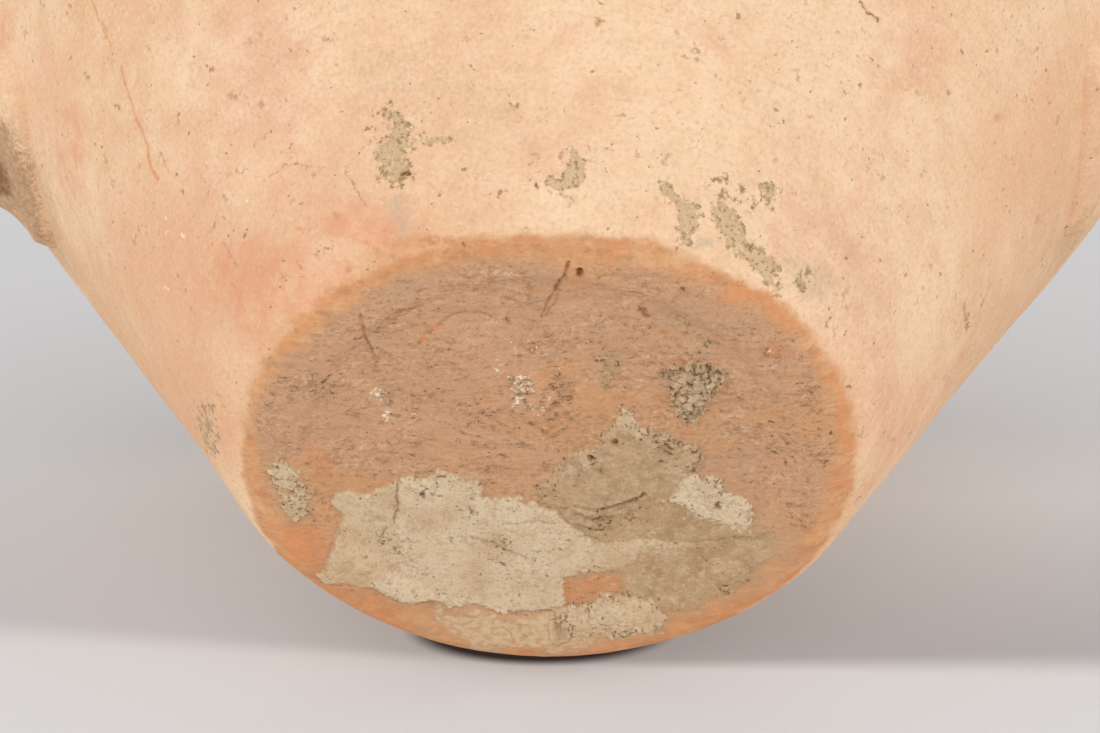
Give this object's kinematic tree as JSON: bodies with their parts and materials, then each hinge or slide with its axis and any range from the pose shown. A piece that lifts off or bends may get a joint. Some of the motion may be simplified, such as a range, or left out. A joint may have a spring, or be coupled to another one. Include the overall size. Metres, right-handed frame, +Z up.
{
  "type": "coil-built pottery jar",
  "caption": "Wide-bellied earthenware storage jar with a narrow neck, flared mouth, strap loop handles low on the belly and a small flat foot.",
  "frame": {"origin": "centre of the foot's underside, in the plane that the jar stands on", "axes": "+Z up along the jar's turning axis, +X through the middle of the right handle"},
  "size_m": [0.328, 0.308, 0.3438],
  "materials": {
    "base_clay": "matte, scraped flat, brown-buff",
    "heel_clay": "matte, orange, worn smooth",
    "wall_clay": "smoothed matte buff with pink-orange clouds",
    "painted_clay": "burnished buff under dark brown and red slip bands",
    "soil": "rough, hardened burial soil"
  },
  "bodies": {
    "root": {"base_disc": "base_clay", "heel_coil": "heel_clay", "wall_coil_1": "wall_clay", "wall_coil_2": "wall_clay", "wall_coil_3": "wall_clay", "wall_coil_4": "wall_clay", "wall_coil_5": "wall_clay", "belly_coil": "painted_clay", "shoulder_coil_1": "painted_clay", "shoulder_coil_2": "painted_clay", "shoulder_coil_3": "painted_clay", "shoulder_coil_4": "painted_clay", "neck_collar": "painted_clay", "mouth_rim": "painted_clay", "handle_left": "wall_clay", "handle_right": "wall_clay", "soil_crust_main": "soil", "soil_crust_lump": "soil", "soil_crust_small": "soil"}
  },
  "joints": []
}
